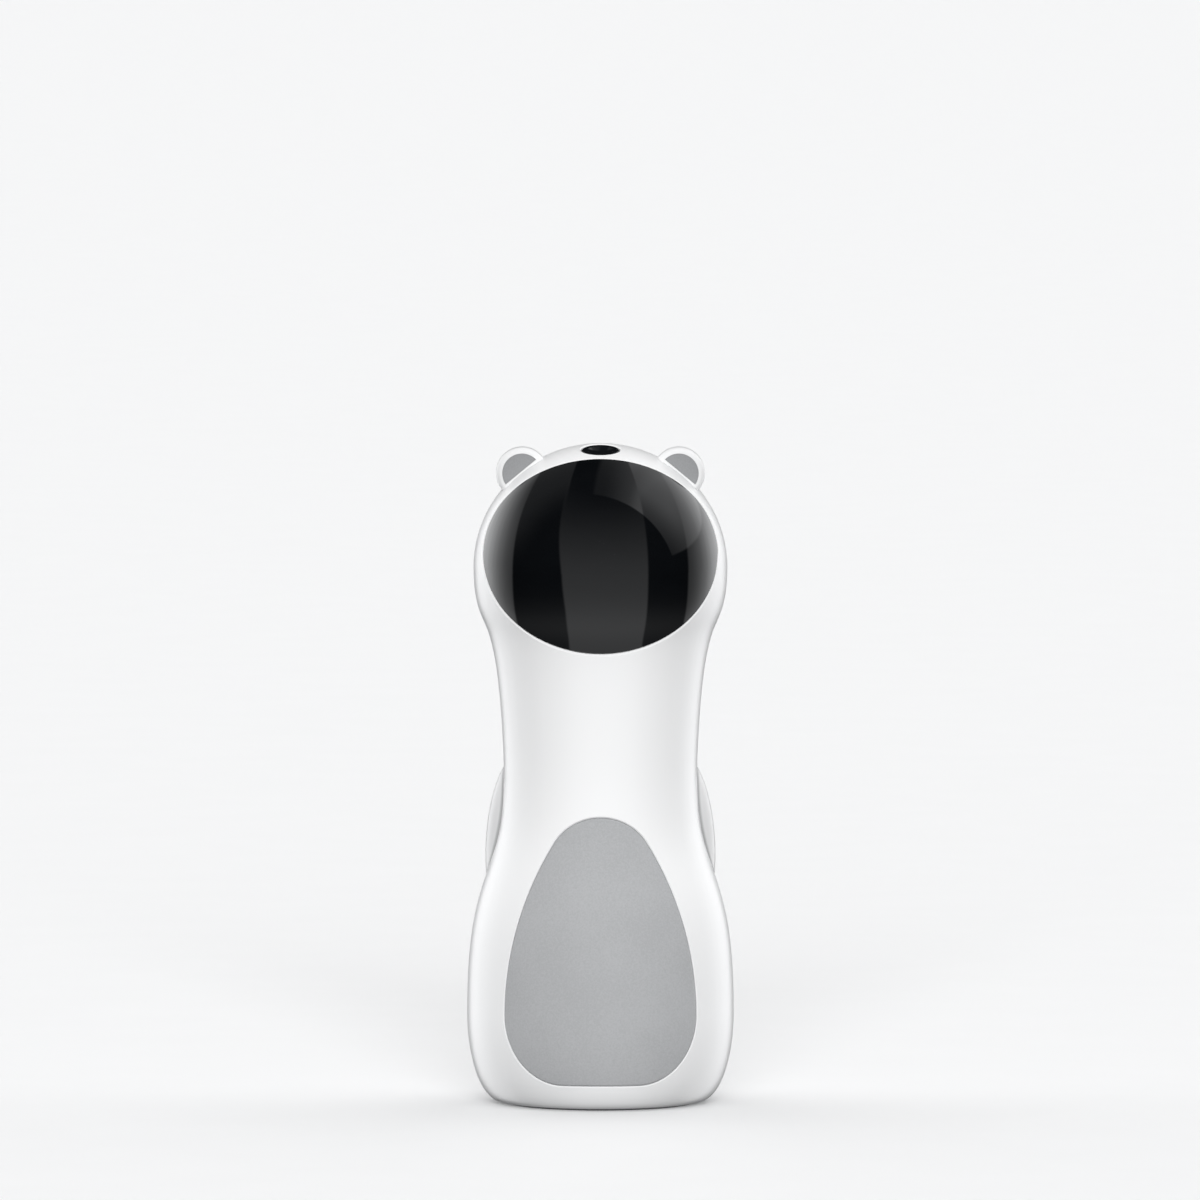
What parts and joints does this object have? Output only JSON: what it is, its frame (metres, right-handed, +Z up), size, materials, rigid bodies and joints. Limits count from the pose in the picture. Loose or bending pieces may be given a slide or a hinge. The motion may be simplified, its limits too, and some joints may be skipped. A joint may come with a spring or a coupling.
{
  "type": "cat laser toy",
  "caption": "Bear-shaped free-standing cat toy: white pin-like body with round ears, black face visor and grey belly panel, hiding a motor-driven laser that pans and tilts.",
  "frame": {"origin": "centre of the foot pad's underside, on the floor", "axes": "+Z up along the body's axis, -Y towards the front (the visor and belly panel), +X to the right as seen from the front"},
  "size_m": [0.0566, 0.0566, 0.14],
  "materials": {
    "body_white": "glossy white moulding",
    "visor_black": "deep gloss, nearly opaque",
    "panel_grey": "fine satin speckle",
    "ear_grey": "satin",
    "button_black": "gloss",
    "foot_rubber": "matt non-slip pad",
    "screw_steel": "zinc plated",
    "frame_black": "moulded inner frame",
    "gear_white": "moulded acetal",
    "motor_steel": "plated can",
    "shaft_steel": "ground",
    "brass": "stamped",
    "lens_clear": "polished",
    "board_green": "soldermask",
    "chip_black": "moulded package",
    "connector_cream": "moulded",
    "socket_steel": "plated shell",
    "lamp_clear": "clear light pipe",
    "cell_foil": "foil pouch"
  },
  "bodies": {
    "housing": {"front_shell": "body_white", "rear_shell": "body_white", "left_ear": "body_white", "right_ear": "body_white", "left_arm": "body_white", "right_arm": "body_white", "face_visor": "visor_black", "belly_panel": "panel_grey", "left_ear_pad": "ear_grey", "right_ear_pad": "ear_grey", "foot_pad": "foot_rubber", "shell_screws": "screw_steel", "chassis_screws": "screw_steel", "pan_motor_screws": "screw_steel", "switch_board_screws": "screw_steel", "main_board_screws": "screw_steel", "battery_tray_screws": "screw_steel", "chassis": "frame_black", "battery_tray": "frame_black", "pan_motor": "motor_steel", "pan_gearbox": "brass", "main_board": "board_green", "switch_board": "board_green", "control_chip": "chip_black", "switch_body": "chip_black", "board_connectors": "connector_cream", "charging_socket": "socket_steel", "charge_light": "lamp_clear", "charge_lamp": "lamp_clear", "battery_cell": "cell_foil"},
    "turret": {"turret": "frame_black", "pan_shaft": "shaft_steel", "tilt_motor": "motor_steel"},
    "laser": {"laser_cradle": "frame_black", "tilt_sector": "gear_white", "cradle_pins": "shaft_steel", "laser_barrel": "brass", "laser_lens": "lens_clear", "laser_driver": "board_green"},
    "tilt_drive": {"tilt_pinion": "gear_white", "tilt_shaft": "shaft_steel"},
    "button": {"crown_button": "button_black", "switch_plunger": "connector_cream"}
  },
  "joints": [
    {"name": "pan", "type": "hinge", "parent": "housing", "child": "turret", "pos_m": [0, 0, 0.1137], "axis": [0, 0, 1], "range_deg": [-50, 50]},
    {"name": "tilt", "type": "hinge", "parent": "turret", "child": "laser", "pos_m": [0, 0, 0.1137], "axis": [1, 0, 0], "range_deg": [-5, 35]},
    {"name": "tilt_pinion_turn", "type": "hinge", "parent": "turret", "child": "tilt_drive", "pos_m": [0, 0.00849, 0.10521], "axis": [1, 0, 0], "range_deg": [-140, 20]},
    {"name": "button_press", "type": "slide", "parent": "housing", "child": "button", "axis": [0, 0.2334, -0.9724], "range_m": [0, 0.0005], "stiffness_N_per_m": 3000}
  ],
  "couplings": [
    {"joint": "tilt_pinion_turn", "follows": "tilt", "ratio": -4}
  ]
}
